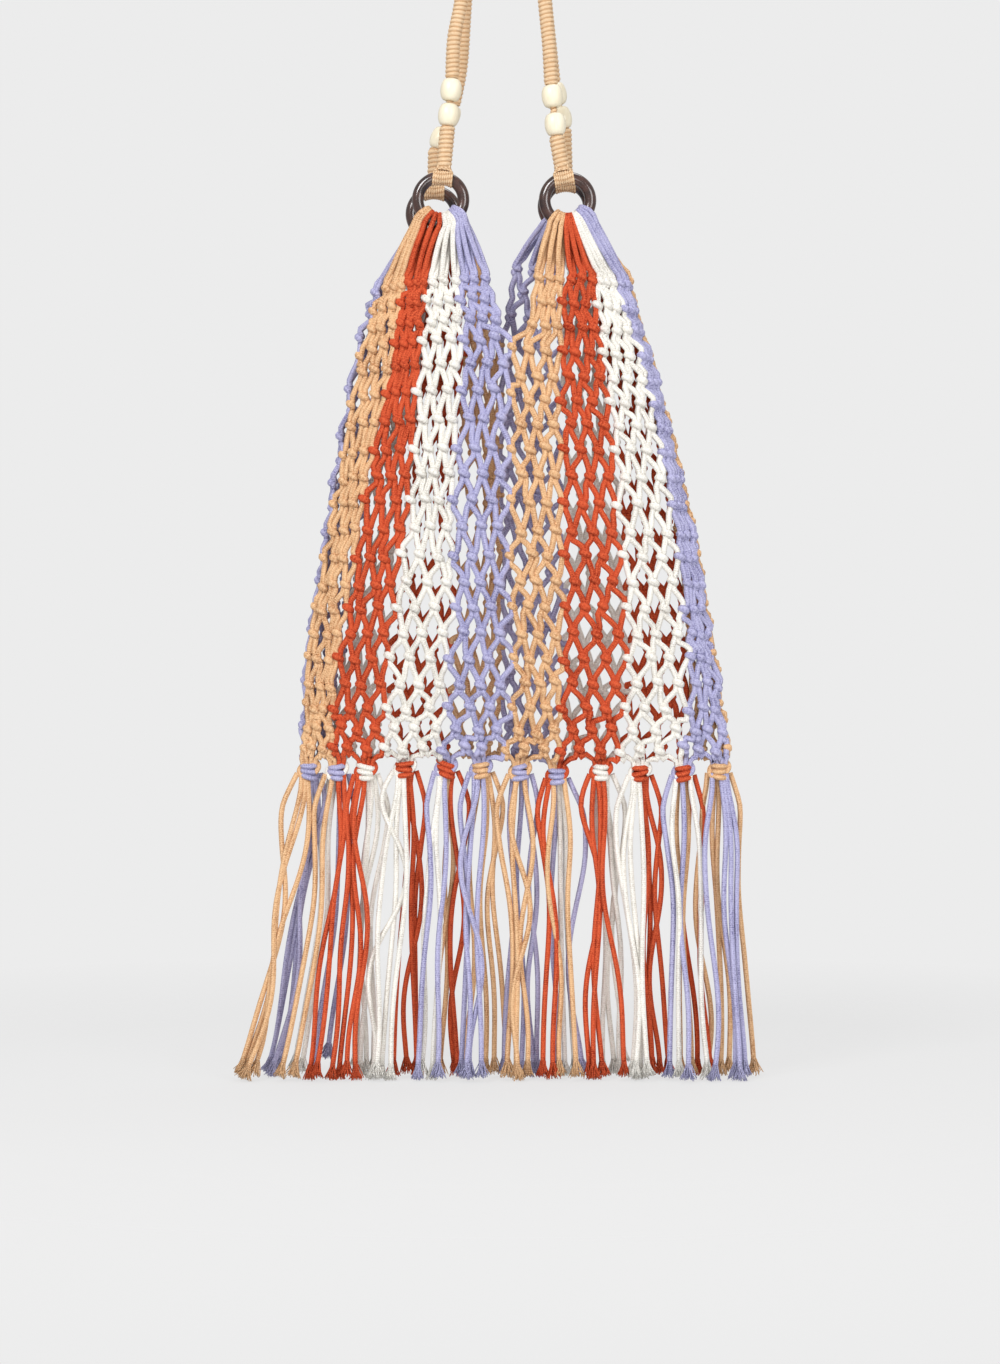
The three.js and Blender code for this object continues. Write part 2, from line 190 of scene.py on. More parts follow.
floor_paint = Paint("floor", Base_Color=FLOOR_TONE, Roughness=1.0, Specular_IOR_Level=0.0)
floor_paint.shader.inputs["Emission Color"].default_value = PALE
floor_paint.shader.inputs["Emission Strength"].default_value = FLOOR_GLOW
x, y, _ = floor_paint.axes(floor_paint.place())
distance = (x * x + y * y).power(0.5)
opacity = (FADE_END / FADE_LONG - distance * (1 / FADE_LONG)).limited()
floor_paint.feed(floor_paint.shader.inputs["Alpha"], opacity)

floor_mesh = bpy.data.meshes.new("floor")
signs = ((-1, -1), (1, -1), (1, 1), (-1, 1))
corners = [(FLOOR_HALF * across, FLOOR_HALF * deep, FLOOR) for across, deep in signs]
floor_mesh.from_pydata(corners, [], [(0, 1, 2, 3)])
floor_mesh.materials.append(floor_paint.material)
floor = bpy.data.objects.new("floor", floor_mesh)
bpy.context.collection.objects.link(floor)

bpy.context.scene.view_settings.view_transform = "Standard"
world = bpy.data.worlds.new("surroundings")
world.use_nodes = True
bpy.context.scene.world = world
sky = world.node_tree
seen = sky.nodes["Background"]
seen.inputs["Color"].default_value = PALE
seen.inputs["Strength"].default_value = 1.0
lit = sky.nodes.new("ShaderNodeBackground")
lit.inputs["Color"].default_value = (1, 1, 1, 1)
lit.inputs["Strength"].default_value = AMBIENT
path_kind = sky.nodes.new("ShaderNodeLightPath")
either = sky.nodes.new("ShaderNodeMixShader")
sky.links.new(path_kind.outputs["Is Camera Ray"], either.inputs[0])
sky.links.new(lit.outputs[0], either.inputs[1])
sky.links.new(seen.outputs[0], either.inputs[2])
sky.links.new(either.outputs[0], sky.nodes["World Output"].inputs[0])


def softbox(name, place, target, width, power):
    """A square area light of a width in metres and a power in watts that faces a point."""
    data = bpy.data.lights.new(name, "AREA")
    data.size, data.energy = width, power
    light = bpy.data.objects.new(name, data)
    aim = np.array(target) - np.array(place)
    across = np.hypot(aim[0], aim[1])
    light.location = place
    light.rotation_euler = (np.arctan2(across, -aim[2]), 0, np.arctan2(-aim[0], aim[1]))
    bpy.context.collection.objects.link(light)


softbox("key", (-1.0, -1.7, 0.7), BAG_CENTRE, 0.8, 31)
softbox("fill", (1.2, -1.7, 0.1), BAG_CENTRE, 1.0, 16)
softbox("top", (0.2, 0.4, 1.3), BAG_CENTRE, 1.0, 12)
softbox("low", (0.2, -1.7, -0.7), FRINGE_CENTRE, 0.8, 6)


# Net
# The bag's wall: 96 strands of soft four-millimetre cotton, two from each of the twelve
# cords that every ring carries, tied by twos in twenty rows. Each knot ties a strand to its
# other neighbour than the row above did. The right one of the two makes the turn.
CORD = 0.0042  # thickness of the cord
GAP = 0.0003  # between the bag's walls at the seam, and between a handle's pieces
ROWS = 20
PER_QUARTER = 24  # strands that come from one ring
STRANDS = 4 * PER_QUARTER
BAG_DEPTH = 0.06
NET_TOP, NET_HEIGHT = -0.366, 0.335
ROW_DROOP = 0.008  # how much lower the top row hangs at the bag's side than at its middle
DROOP_MEAN = 0.3  # share of it taken off again, so that a row keeps its mean height
RING_RADIUS, RING_WIRE = 0.0159, 0.0041  # of the ring's middle line, and of its round section
# Both ends of the cords' row on each ring and the changes of colour between them, as angles
# from the ring's bottom in the order round the bag
RING_ANGLES = np.radians(
    [(-58, -43, 6, 37, 64), (-46, -8, 19, 37, 68), (-60, -30, 0, 30, 60), (-60, -30, 0, 30, 60)]
)

# The four quarters in their order round the bag, seen from outside from left to right
SIDE = np.array([-1, 1, 1, -1])
FACE = np.array([-1, -1, 1, 1])
QUARTER_NAMES = ["front_left", "front_right", "back_right", "back_left"]
COLOURS = ["tan", "rust", "white", "lilac"]
PER_COLOUR = PER_QUARTER // len(COLOURS)
EDGES = len(COLOURS) + 2  # the side, the seam, the changes of colour and the middle
SIDE_CURVE = 0.0012  # radius at which the wall turns from front to back
DEPTH_CURVE = 0.62  # how blunt the bag's sides are, from 1 for a wedge to 0 for a box
SIDE_CROWD = 1.3  # how much closer the cords lie at the bag's right side and the back's middle

# Pixel rows of the knots in each quarter. The back ones are even once the V at the top closes.
KNOT_ROWS = np.array(
    [
        (282, 302, 322, 342, 366, 392, 420, 449, 475, 500)
        + (528, 557, 584, 608, 634, 659, 685, 709, 729, 747),
        (281, 306, 329, 354, 379, 403, 426, 451, 477, 505)
        + (533, 556, 582, 608, 634, 659, 683, 708, 731, 750),
        [275, 297, 320, *np.linspace(342, 749, 17)],
        np.linspace(284, 748, 20),
    ]
)

# Where the colours meet on the front, as pixel columns at some pixel rows of each half: the
# bag's side, the seam of front and back, the three changes of colour and the bag's middle
STRIPES = {
    -1: [
        (282, 374, 384, 407, 430, 462, 491),
        (310, 365, 372, 401, 426, 463, 500),
        (342, 356, 363, 397, 424, 466, 511),
        (360, 352, 359, 395, 422, 466, 512),
        (440, 338, 345, 377, 416, 459, 511),
        (475, 331, 340, 371, 414, 457, 511),
        (500, 327, 335, 367, 412, 455, 511),
        (528, 324, 331, 362, 409, 455, 510),
        (555, 320, 325, 358, 404, 456, 510),
        (603, 312.5, 315, 349, 397, 457, 511),
        (634, 308.5, 311, 344.6, 394, 455, 512),
        (655, 306.5, 309, 342, 392, 453, 512),
        (700, 303.5, 305, 336, 388, 452, 511),
        (755, 303, 304, 334, 385, 445, 507),
    ],
    1: [
        (282, 631, 631, 616, 594, 564, 532),
        (306, 637, 637, 624, 595, 561, 528),
        (330, 643, 643, 632, 598, 561, 525),
        (354, 652, 652, 641, 602, 560, 512),
        (403, 664, 664, 653, 608, 560, 512),
        (450, 676, 675, 661, 614, 561, 512),
        (505, 688, 687, 671, 617, 562, 511),
        (555, 700, 698, 678, 621, 563, 510),
        (608, 706.5, 705, 683, 623, 563, 510),
        (660, 715.5, 714, 688, 627, 561, 512),
        (713, 723, 722, 687, 622, 562, 512),
        (755, 728, 727, 679, 617, 557, 507),
    ],
}
# The middle of the back wall, as pixel rows and columns; it closes higher up than the front's
BACK_MIDDLE = {
    -1: [(282, 484), (318, 498), (755, 503)],
    1: [(272, 511), (294, 508), (317, 504), (340, 501), (755, 501)],
}

# Depth of the bag at shares of the net's height, as a share of its greatest
DEPTHS = np.transpose(
    [(0, 0.24), (0.1, 0.32), (0.245, 0.4), (0.449, 0.46), (0.653, 0.43), (0.857, 0.25)]
    + [(0.959, 0.1), (1, 0.05)]
)
RINGS = np.array([np.mean(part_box("ring_" + name), axis=0) for name in QUARTER_NAMES])


def wall(quarter, turn, down):
    """Middle of the bag's wall. turn counts strands round the bag, down is a share of its height.
    The distance in from the side runs between the colour changes; front and back lie either
    side of zero, and the depth rises with it as one less a power of the way left to the middle.
    A place nearer the camera comes closer to the picture's middle by its share of the distance."""
    turn, down = np.broadcast_arrays(turn, down)
    quarter = np.broadcast_to(quarter, turn.shape)
    side, face = SIDE[quarter], FACE[quarter]
    along = np.clip(turn / PER_QUARTER - quarter, 0, 1)
    across = np.where(side * face > 0, along, 1 - along)
    droop = ROW_DROOP * ((1 - across) ** 2 - DROOP_MEAN) * (1 - down)
    height = NET_TOP - NET_HEIGHT * down
    row = ORIGIN_ROW - height / PIXEL
    changes = np.zeros((EDGES, *turn.shape))
    for half, table in STRIPES.items():
        rows, *edges = np.transpose(table)
        columns = np.stack([np.interp(row, rows, edge) for edge in edges])
        middle = np.interp(row, *np.transpose(BACK_MIDDLE[half]))
        columns[-1] = np.where(face > 0, middle, columns[-1])
        changes = np.where(side == half, columns, changes)
    edge = (changes[0] - CENTRE_LINE) * PIXEL
    inward = (changes[1:] - changes[0]) * PIXEL * -side
    inward[1:] *= -face
    place = across * len(COLOURS)
    band = np.minimum(place.astype(int), len(COLOURS) - 1)
    within = place - band
    within = np.where((band == 0) & (side > 0), within**SIDE_CROWD, within)
    within = np.where((band == 3) & (face > 0), 1 - (1 - within) ** SIDE_CROWD, within)
    start, end = (np.take_along_axis(inward, number[None], axis=0)[0] for number in (band, band + 1))
    inset = start * (1 - within) + end * within
    turned = np.sqrt(inset**2 + SIDE_CURVE**2)
    share = np.clip(np.abs(inset / inward[-1]), 0, 1)
    depth = np.interp(down, *DEPTHS) * (1 - (1 - share) ** 2) ** DEPTH_CURVE
    out_of_page = -inset / turned * (CORD / 2 + GAP / 2 + BAG_DEPTH * depth)
    flat = np.stack([edge - side * (turned - SIDE_CURVE), 0 * edge, height - droop], axis=-1)
    axis = np.array(camera.location)[[0, 2]]
    nearer = (CAMERA_DISTANCE + out_of_page) / CAMERA_DISTANCE
    flat[..., 0::2] = axis + (flat[..., 0::2] - axis) * nearer[..., None]
    flat[..., 1] = out_of_page
    return flat


UP = np.array([0.0, 0.0, 1.0])
REARWARD = np.array([0.0, 1.0, 0.0])
LEAST = 1e-12  # keeps a division from failing


def unit(vectors):
    """Vectors at length one."""
    return vectors / np.maximum(np.linalg.norm(vectors, axis=-1, keepdims=True), LEAST)


def circle(sides):
    """Angles of points spread evenly round a circle."""
    return np.arange(sides) / sides * 2 * np.pi


def spokes(across, up, sides):
    """Directions spread evenly round a path, from its two directions across it."""
    angle = circle(sides)[:, None]
    return np.cos(angle) * across[..., None, :] + np.sin(angle) * up[..., None, :]


def travelled(paths):
    """Distance of every station from its path's start."""
    step = np.linalg.norm(np.diff(paths, axis=1), axis=-1)
    return np.concatenate([np.zeros((len(paths), 1)), np.cumsum(step, 1)], 1)


def smoothed(points, steps):
    """Centripetal Catmull-Rom curves through rows of points: a cubic between each two points,
    whose slopes come from both neighbours, weighted by the roots of the distances."""
    before_first = 2 * points[:, :1] - points[:, 1:2]
    after_last = 2 * points[:, -1:] - points[:, -2:-1]
    ends = np.concatenate([before_first, points, after_last], 1)
    gap = np.maximum(np.linalg.norm(np.diff(ends, axis=1), axis=-1, keepdims=True), 1e-9) ** 0.5
    a, b, c, d = (ends[:, i : ends.shape[1] - 3 + i] for i in range(4))
    before, here, after = (gap[:, i : gap.shape[1] - 2 + i] for i in range(3))
    leaving = here * ((b - a) / before - (c - a) / (before + here)) + (c - b)
    arriving = here * ((d - c) / after - (d - b) / (here + after)) + (c - b)
    a, b, c, leaving, arriving = (value[:, :, None] for value in (a, b, c, leaving, arriving))
    t = (np.arange(steps) / steps)[:, None]
    squared = 3 * (c - b) - 2 * leaving - arriving
    cubed = 2 * (b - c) + leaving + arriving
    curve = b + leaving * t + squared * t**2 + cubed * t**3
    return np.concatenate([curve.reshape(len(points), -1, points.shape[-1]), points[:, -1:]], 1)


NOT_A_START = [0.3, 0.9, 0.2]  # a direction in which no path starts


def carried_frames(paths):
    """Two directions across each path, carried along it with no twist: every station takes the
    last one's, less its part along the path."""
    tangent = unit(np.gradient(paths, axis=1))
    across = np.empty_like(paths)
    across[:, 0] = unit(np.cross(tangent[:, 0], NOT_A_START))
    for i in range(1, paths.shape[1]):
        last = across[:, i - 1]
        lean = np.sum(last * tangent[:, i], -1, keepdims=True)
        across[:, i] = unit(last - lean * tangent[:, i])
    return across, np.cross(tangent, across)


class Soup:
    """Tubes and grids gathered into one mesh, with a place along and around each for shading."""

    def __init__(self):
        self.points, self.faces, self.uvs, self.paints, self.count = [], [], [], [], 0

    def grid(self, rings, along, paint=0, closed=False):
        """Tubes from rings of points, each either capped at both ends or closed into a loop.
        rings is (tubes, stations, sides, 3), and along is the distance at each station."""
        tubes, stations, sides = rings.shape[:3]
        index = np.arange(tubes * stations * sides).reshape(tubes, stations, sides) + self.count
        if closed:
            index = np.concatenate([index, index[:, :1]], 1)
            along = np.concatenate([along, 2 * along[:, -1:] - along[:, -2:-1]], 1)
            stations += 1
        beside = np.roll(index, -1, axis=2)
        quads = np.stack([index[:, :-1], beside[:, :-1], beside[:, 1:], index[:, 1:]], -1)
        around = np.arange(sides) / sides
        u = np.broadcast_to(around, (tubes, stations - 1, sides))
        low = np.broadcast_to(along[:, :-1, None], u.shape)
        high = np.broadcast_to(along[:, 1:, None], u.shape)
        right = u + 1 / sides
        corners = ((u, low), (right, low), (right, high), (u, high))
        uv = np.stack([np.stack(corner, -1) for corner in corners], -2)
        self.add(rings.reshape(-1, 3), quads.reshape(-1, 4), uv.reshape(-1, 4, 2), paint)
        if not closed:
            flat = np.zeros((tubes, sides, 2))
            self.add(np.empty((0, 3)), index[:, 0, ::-1], flat, paint)
            self.add(np.empty((0, 3)), index[:, -1], flat, paint)

    def add(self, points, faces, uv, paint):
        self.points.append(points)
        self.faces.append(faces)
        self.uvs.append(uv.reshape(-1, 2))
        self.paints.append(np.full(len(faces), paint))
        self.count += len(points)

    def tubes(self, paths, radius, sides=8, paint=0):
        """Round tubes along paths. radius is a number, or one for each station of each path."""
        radius = np.broadcast_to(radius, paths.shape[:2])[:, :, None, None]
        rings = paths[:, :, None] + radius * spokes(*carried_frames(paths), sides)
        self.grid(rings, travelled(paths), paint)

    def piece(self, name, paints, nodes, slot):
        """The mesh as an object that stands for CAD nodes and rides on the bag."""
        mesh = bpy.data.meshes.new(name)
        points = np.concatenate(self.points)
        sizes = np.concatenate([np.full(len(f), f.shape[1]) for f in self.faces])
        loops = np.concatenate([f.ravel() for f in self.faces])
        mesh.vertices.add(len(points))
        mesh.vertices.foreach_set("co", points.ravel())
        mesh.loops.add(len(loops))
        mesh.loops.foreach_set("vertex_index", loops)
        mesh.polygons.add(len(sizes))
        mesh.polygons.foreach_set("loop_start", np.concatenate([[0], np.cumsum(sizes)[:-1]]))
        mesh.polygons.foreach_set("loop_total", sizes)
        mesh.polygons.foreach_set("material_index", np.concatenate(self.paints))
        mesh.polygons.foreach_set("use_smooth", np.ones(len(sizes), bool))
        layer = mesh.uv_layers.new(name="thread")
        layer.data.foreach_set("uv", np.concatenate(self.uvs).ravel())
        for paint in paints:
            mesh.materials.append(paint)
        mesh.update(calc_edges=True)
        mesh.validate()
        piece = bpy.data.objects.new(name, mesh)
        bpy.context.collection.objects.link(piece)
        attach(piece, "root")
        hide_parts(*nodes)
        return piece


RIB_LONG = 0.003  # of the plait's pattern along the cord


def cord_paint(name, light, dark, warm):
    """Soft cotton cord: fine plaited ribs, loose fibres and a slightly uneven dye, coloured between a
    painted shade tone (dark) and a painted highlight tone (light). The fibres' noise mixes the two at
    random, the ribs put painted shade in the plait's grooves, and a high tone is lifted further
    towards the painted highlight. The ribs are the product of two sines that wind round the cord
    in opposite ways."""
    paint = Paint(name, Roughness=0.95, Specular_IOR_Level=0.15)
    u, v, _ = paint.axes(paint.place("UV"))
    place = paint.place()
    turn = u * (2 * np.pi)
    run = v * (2 * np.pi / RIB_LONG)
    # the plait's ribs: a bump, and in the colour painted shade in the grooves between them
    ribs_and_groove_shade = (run + turn * 2).sine() * (run - turn * 2).sine() * 0.5 + 0.5
    fibre = paint.noise(place, 1100, 3)
    dye = paint.noise(place, 60, 2)
    # tone runs from the painted shade tone to the painted highlight tone: fibre mottle at random, and
    # painted shade in the ribs' grooves
    tone = (ribs_and_groove_shade * 0.5 + fibre * 2.2 + dye * 0.8 - 1.25).limited()
    colour = paint.mixed((dye * 1.6 - 0.5).limited(), paint.mixed(tone, dark, light), warm)
    # painted highlight: a high tone is lifted further towards the light tone
    colour = paint.mixed(tone * 0.4, colour, light)
    return paint.finish(colour, ribs_and_groove_shade * 0.5 + fibre * 0.8, 0.0006)


# Each cord's colours: a painted highlight tone, a painted shade tone, and the tone that the uneven dye mixes
# in
CORD_PAINTS = {
    "tan": cord_paint("tan_cotton", linear(240, 202, 160), linear(172, 119, 77), linear(215, 168, 121)),
    "rust": cord_paint("rust_cotton", linear(222, 104, 66), linear(138, 34, 16), linear(194, 70, 40)),
    "white": cord_paint("white_cotton", linear(247, 245, 240), linear(198, 192, 181), linear(233, 229, 219)),
    "lilac": cord_paint("lilac_cotton", linear(196, 195, 226), linear(118, 114, 156), linear(163, 160, 197)),
}
PAINT_ORDER = [CORD_PAINTS[colour] for colour in COLOURS]

# Knots by row and strand. A strand's right-hand neighbour ties with it in even rows where its
# number is even, and in odd rows where it is odd. The halves meet and the sides close lower down.
FIRST_JOIN = {0: 1, 24: 3, 48: 1, 72: 3}  # first row tied across each edge of a quarter
KNOT_NUDGE = [0.0007, 0.0004, 0.0009]  # how far a knot typically strays in x, y and z
NUDGE_TOP, NUDGE_MORE = 0.7, 0.8  # share of it at the top, and what is added down to the bottom
TILT_MEAN, TILT_SPREAD = 0.05, 0.14  # slope of the knots
LOOSE_NUDGE, LOOSE_EASE = 0.6, 0.6  # a strand that isn't tied strays less, and runs straighter
KNOT_PITCH = 0.0095  # distance between two knots of a row where they have room
TIGHTEST = 0.6  # share of its width that a crowded knot keeps
SIDE_TUCK = 0.0012  # how far in a knot right at the bag's side sits
SIDE_FLAT = 0.45  # and how much flatter it is there

shake = np.random.default_rng(7)
strand = np.arange(STRANDS)[:, None]
row = np.arange(ROWS)[None, :]
pair = (strand + row) % 2 == 0  # true on the left strand of a knot
partner = (strand + np.where(pair, 1, -1)) % STRANDS
quarter = strand // PER_QUARTER
edge = np.where(pair, strand + 1, strand) % STRANDS
first_join = np.select([edge == key for key in FIRST_JOIN], list(FIRST_JOIN.values()), 0)
tied = row >= first_join

row_height = (ORIGIN_ROW - KNOT_ROWS[quarter[:, 0]]) * PIXEL
down = (NET_TOP - row_height) / NET_HEIGHT
knot_turn = np.where(pair, strand + 1, strand)
own = wall(quarter, knot_turn, down)
partner_quarter = partner // PER_QUARTER
turn_in_round = knot_turn % STRANDS
partner_turn = np.where((partner_quarter == 3) & (turn_in_round == 0), STRANDS, turn_in_round)
other = wall(partner_quarter, partner_turn, np.take_along_axis(down, partner, 0))
middle = np.where(tied[..., None], (own + other) / 2, own)

# One random nudge for each knot, shared by its two strands
nudge = shake.normal(0, KNOT_NUDGE, (STRANDS, ROWS, 3))
nudge *= (NUDGE_TOP + NUDGE_MORE * (row / ROWS) ** 2)[..., None]
tilt = shake.normal(TILT_MEAN, TILT_SPREAD, (STRANDS, ROWS))
owner = np.where(pair, strand, partner)
middle = middle + np.where(tied[..., None], nudge[owner, row], nudge * LOOSE_NUDGE)
between = (middle[:, :-2] + middle[:, 2:]) / 2
eased = middle[:, 1:-1] * (1 - LOOSE_EASE) + between * LOOSE_EASE
middle[:, 1:-1] = np.where(tied[:, 1:-1, None], middle[:, 1:-1], eased)

# Directions at each knot: level along the wall, and out of it
ahead = wall(quarter, np.minimum(knot_turn + 0.5, (quarter + 1) * PER_QUARTER), down)
behind = wall(quarter, np.maximum(knot_turn - 0.5, quarter * PER_QUARTER), down)
along = unit((ahead - behind) * [1, 1, 0])
along = np.where(tied[..., None], unit(along + along[partner, row]), along)
outward = np.cross(along, UP)
pitch = 2 * np.linalg.norm(ahead - behind, axis=-1)
squeeze = np.clip(np.minimum(pitch, pitch[partner, row]) / KNOT_PITCH, TIGHTEST, 1)

# The two strands' ways through a knot: along the wall, out of it and up, in cord thicknesses.
# The left one runs straight through. The right one goes behind, round the left end, over the
# front and round the right end, and leaves between its own turn and the other strand.
STRAIGHT = np.array([(-0.45, 0, 1.35), (-0.3, 0, 0.6), (-0.28, 0, -0.6), (-0.45, 0, -1.35)])
TURNED = np.array(
    [
        (0.42, 0.0, 1.35),
        (0.32, -0.15, 0.66),
        (-0.1, -0.6, 0.22),
        (-0.44, -0.3, 0.22),
        (-0.46, 0.38, 0.28),
        (0.0, 0.74, 0.12),
        (0.44, 0.42, -0.14),
        (0.5, -0.1, -0.42),
        (0.4, -0.05, -0.78),
        (0.42, 0.0, -1.35),
    ]
)
SWOLLEN = np.array([1, 1, 0.95, 1.05, 1.2, 1.3, 1.2, 1, 0.95, 1])  # thickness in the turn, as a share
# A strand that isn't tied in a row runs straight past it, in as many points
PAST = np.array([0.0, 0.0, 0.8])
LOOSE_STRAIGHT, LOOSE_TURNED = (np.linspace(PAST, -PAST, len(shape)) for shape in (STRAIGHT, TURNED))


def knot_points(strands, rows, shape, loose):
    """Points of some strands through some rows' knots, by the given way through. Right at the
    bag's side, where a knot is seen edge on, it is flatter and lies farther in."""
    pick = np.ix_(strands, rows)
    way = np.where(tied[pick][..., None, None], shape, loose) * CORD
    way[..., :2] *= squeeze[pick][..., None, None]
    aside = np.abs(outward[pick][..., :1])
    way[..., 1] = way[..., 1] * (1 - SIDE_FLAT * aside) - SIDE_TUCK * aside
    frame_along, frame_out = along[pick][:, :, None], outward[pick][:, :, None]
    lift = UP + frame_along * tilt[owner, row][pick][..., None, None]
    points = middle[pick][:, :, None] + way[..., :1] * frame_along + way[..., 1:2] * frame_out
    return points + way[..., 2:] * lift


def strand_points(strands, parity):
    """Points of strands of one parity through all rows, straight and turned by turns, with the
    cord's thickness at each as a fourth number."""
    even, odd = np.arange(0, ROWS, 2), np.arange(1, ROWS, 2)
    straight_rows, turned_rows = (even, odd) if parity == 0 else (odd, even)
    straight = knot_points(strands, straight_rows, STRAIGHT, LOOSE_STRAIGHT)
    turned = knot_points(strands, turned_rows, TURNED, LOOSE_TURNED)
    thick = np.where(tied[np.ix_(strands, turned_rows)][..., None], SWOLLEN, 1.0)
    straight = np.concatenate([straight, np.ones((*straight.shape[:3], 1))], -1)
    turned = np.concatenate([turned, thick[..., None]], -1)
    both = (straight, turned) if parity == 0 else (turned, straight)
    return np.concatenate(both, axis=2).reshape(len(strands), -1, 4)


def plain(points, thick=1.0):
    """Points with one thickness as their fourth number."""
    return np.concatenate([points, np.full((*points.shape[:-1], 1), thick)], -1)


# Tops: each cord is folded over its ring's lower side, its left strand in front
FOLD_RADIUS = RING_WIRE + 0.0017  # a pressed cord's middle from the middle of the wire
FOLD_ANGLES = np.radians([-80, -112, -146, 180, 146, 112, 80])  # round the wire, 180 inside the ring
cords = np.arange(STRANDS // 2)
cord_quarter = cords * 2 // PER_QUARTER
ring_share = ((cords * 2 + 1) % PER_QUARTER) / PER_QUARTER
changes_at = np.linspace(0, 1, len(COLOURS) + 1)
ring_angle = np.stack([np.interp(ring_share, changes_at, angles) for angles in RING_ANGLES])
ring_angle = np.take_along_axis(ring_angle, cord_quarter[None], axis=0)[0] * -FACE[cord_quarter]
radial = np.stack([np.sin(ring_angle), 0 * ring_angle, -np.cos(ring_angle)], -1)
out_of_page = np.stack([0 * ring_angle, FACE[cord_quarter] * 1.0, 0 * ring_angle], -1)
fold = (
    RINGS[cord_quarter][:, None]
    + (RING_RADIUS + FOLD_RADIUS * np.cos(FOLD_ANGLES))[None, :, None] * radial[:, None]
    - (FOLD_RADIUS * np.sin(FOLD_ANGLES))[None, :, None] * out_of_page[:, None]
)

# Feet: below the last row every strand runs in to the square knot that takes it
TASSELS = 12
HEAD_COLUMNS = np.array([309, 337, 366, 405, 446, 481, 520, 557, 601, 640, 683, 719])
HEAD_ROWS = np.array([759, 760, 760, 757, 757, 758, 760, 764, 760, 761, 761, 759])
FOOT = [0.0024, 0.0018, -0.006]  # apart in x, off the bag's middle in y, and from the knot's top
ABOVE_FOOT = [0.001, 0.0008, 0.0062]  # what the point above it has more in each
PRESSED = 0.8  # share of its thickness that a cord keeps inside a knot
seen_from_front = np.where(strand[:, 0] < STRANDS // 2, strand[:, 0], STRANDS - 1 - strand[:, 0])
tassel_of = seen_from_front // 4
heads = np.stack(
    [(HEAD_COLUMNS - CENTRE_LINE) * PIXEL, np.zeros(TASSELS), (ORIGIN_ROW - HEAD_ROWS) * PIXEL], -1
)
rank = seen_from_front % 4 - 1.5
strand_face = FACE[quarter[:, 0]]
place_in_knot = np.stack([rank, strand_face, np.ones(STRANDS)], -1)
foot = heads[tassel_of] + place_in_knot * FOOT
above_foot = foot + place_in_knot * ABOVE_FOOT
feet = plain(np.stack([above_foot, foot], 1), PRESSED)

# Fan: between ring and first row a strand hangs in a slight curve that bulges outwards
FAN_STEPS = np.array([0.18, 0.38, 0.6, 0.8])[:, None]
FAN_BULGE = 0.03  # share of its way sideways
FAN_THICK, FOLD_THICK = 0.92, 0.85  # shares of the cord's thickness under tension
FAN_APART = 0.0009  # how far it keeps from the other strand of its first knot


def fan_points(top, bottom, apart):
    """Points between a strand's top and its first knot: straight, and moved by the sine of half
    a turn times a share of the sideways way, and away from the knot's other strand."""
    sideways = FAN_BULGE * (bottom - top) * [1, 0, 0] + apart * FAN_APART
    bulge = np.sin(np.pi * FAN_STEPS) * sideways[:, None]
    return plain(top[:, None] + (bottom - top)[:, None] * FAN_STEPS + bulge, FAN_THICK)


left_strands, right_strands = cords * 2, cords * 2 + 1
left_points = strand_points(left_strands, 0)[:, 1:]
right_points = strand_points(right_strands, 1)[:, 1:]
cord_points = np.concatenate(
    [
        feet[left_strands][:, ::-1],
        left_points[:, ::-1],
        fan_points(fold[:, 0], left_points[:, 0, :3], -along[left_strands, 0])[:, ::-1],
        plain(fold, FOLD_THICK),
        fan_points(fold[:, -1], right_points[:, 0, :3], along[right_strands, 0]),
        right_points,
        feet[right_strands],
    ],
    axis=1,
)
cord_paths = smoothed(cord_points, 2)

for q, quarter_name in enumerate(QUARTER_NAMES):
    for number, colour in enumerate(COLOURS):
        first = (q * PER_QUARTER + number * PER_COLOUR) // 2
        members = cord_paths[first : first + PER_COLOUR // 2]
        stripe = Soup()
        stripe.tubes(members[..., :3], members[..., 3] * CORD / 2)
        name = f"net_{quarter_name}_{colour}"
        stripe.piece("knotted_" + name, [CORD_PAINTS[colour]], [name], "cord_" + colour)


# Fringe
# Eight strands leave each square knot, four of the front wall and four of the back, and hang
# down to the floor. Their cut ends have frayed into small brushes. The knot itself is three
# turns of one colour, with a loop of another at each side.
FRINGE_LEFT, FRINGE_RIGHT = 0.1665, 0.1595  # where the outermost tassels' middles end
HEAD_TALL = 0.0148  # height of a square knot
STATIONS = 19
BRUSH = 0.0115  # length of a frayed end
STRAND_RADIUS = CORD * 0.45  # of a strand that hangs free
WRAP_COLOURS = "lilac lilac white rust rust tan lilac lilac white rust rust tan".split()
LOOP_COLOURS = "tan white rust white lilac lilac tan rust rust white lilac tan".split()
SPREAD = 0.0037  # distance between two strands that hang side by side
strand_colour = (np.arange(STRANDS) % PER_QUARTER) // PER_COLOUR

# The strands' order from left to right below each knot: the loops' colour starts at the left
# and the turns' colour ends at the right, the others mix
SHUFFLE, SORTED = 0.9, 1.6  # the random part of a strand's place, and what its colour adds
hang = np.random.default_rng(23)
wrap_colour = np.array([COLOURS.index(colour) for colour in WRAP_COLOURS])
loop_colour = np.array([COLOURS.index(colour) for colour in LOOP_COLOURS])
order = rank / 2 + hang.normal(0, SHUFFLE, STRANDS)
order -= SORTED * (strand_colour == loop_colour[tassel_of])
order += SORTED * (strand_colour == wrap_colour[tassel_of])
slot = np.empty(STRANDS)
slot[np.lexsort((order, tassel_of))] = np.tile(np.arange(8), TASSELS) - 3.5
slot = slot[:, None]

